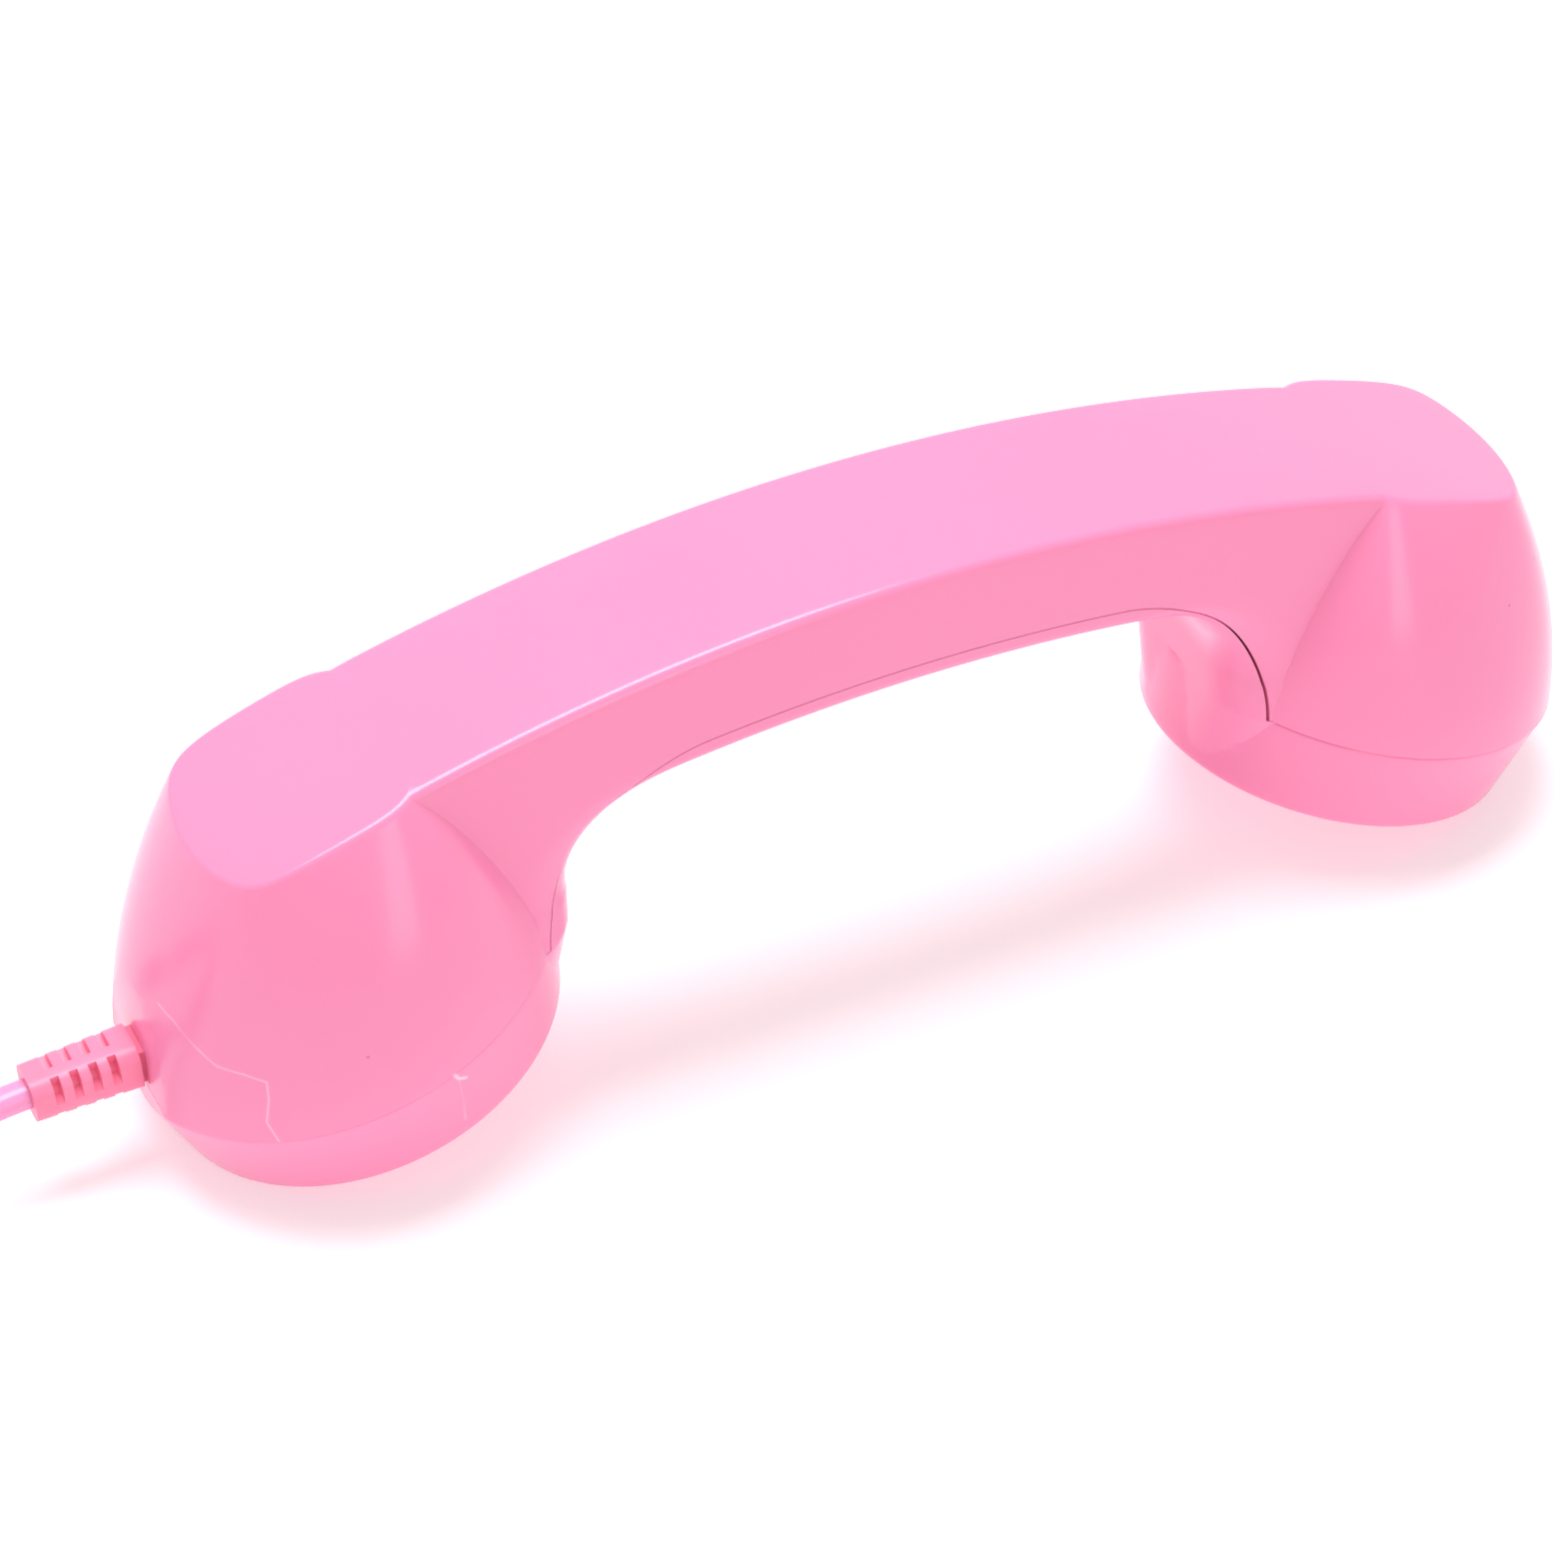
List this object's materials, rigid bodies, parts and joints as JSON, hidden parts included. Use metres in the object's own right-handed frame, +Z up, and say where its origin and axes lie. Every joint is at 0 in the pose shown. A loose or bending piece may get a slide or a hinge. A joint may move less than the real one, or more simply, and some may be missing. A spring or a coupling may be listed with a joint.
{
  "type": "telephone handset",
  "caption": "Pink two-shell telephone handset with a moulded strain relief and a curly cord ending in a round plug, lying on its two cups.",
  "frame": {"origin": "on the ground plane, under the middle of the handset's own bounding box, cord left out", "axes": "+X from the mouthpiece to the earpiece along the grip, +Y across the grip, +Z up; the handset lies on its two cups"},
  "size_m": [0.3652, 0.0679, 0.0668],
  "materials": {
    "pink_plastic": "glossy moulded plastic",
    "pink_relief": "satin moulded vinyl",
    "pink_cord": "smooth vinyl jacket",
    "nickel": "nickel plated",
    "zinc_steel": "zinc plated",
    "dark_steel": "blackened steel",
    "black_cloth": "woven cloth",
    "black_rubber": "matte rubber",
    "tin_plate": "tin plated steel",
    "clear_film": "pressed film",
    "copper_wire": "enamelled copper",
    "black_plastic": "moulded plastic",
    "green_board": "solder mask"
  },
  "bodies": {
    "root": {"outer_shell": "pink_plastic", "inner_shell": "pink_plastic", "strain_relief": "pink_relief", "cord_lead": "pink_cord", "curly_cord": "pink_cord", "plug_lead": "pink_cord", "cord_tail": "pink_cord", "plug_body": "pink_relief", "plug_pin": "nickel", "case_screws": "zinc_steel", "receiver_screws": "zinc_steel", "mic_screws": "zinc_steel", "board_screws": "zinc_steel", "clamp_screws": "zinc_steel", "ballast_screws": "zinc_steel", "ballast_bar": "dark_steel", "receiver_cloth": "black_cloth", "receiver_gasket": "black_rubber", "receiver_cover": "tin_plate", "receiver_diaphragm": "clear_film", "receiver_coil": "copper_wire", "receiver_basket": "black_plastic", "receiver_yoke": "tin_plate", "receiver_magnet": "dark_steel", "receiver_pole_plate": "tin_plate", "receiver_board": "green_board", "receiver_retainer": "black_plastic", "mic_felt": "black_cloth", "mic_boot": "black_rubber", "mic_can": "tin_plate", "mic_board": "green_board", "mic_bracket": "black_plastic", "terminal_board": "green_board", "cord_clamp": "zinc_steel"}
  },
  "joints": []
}
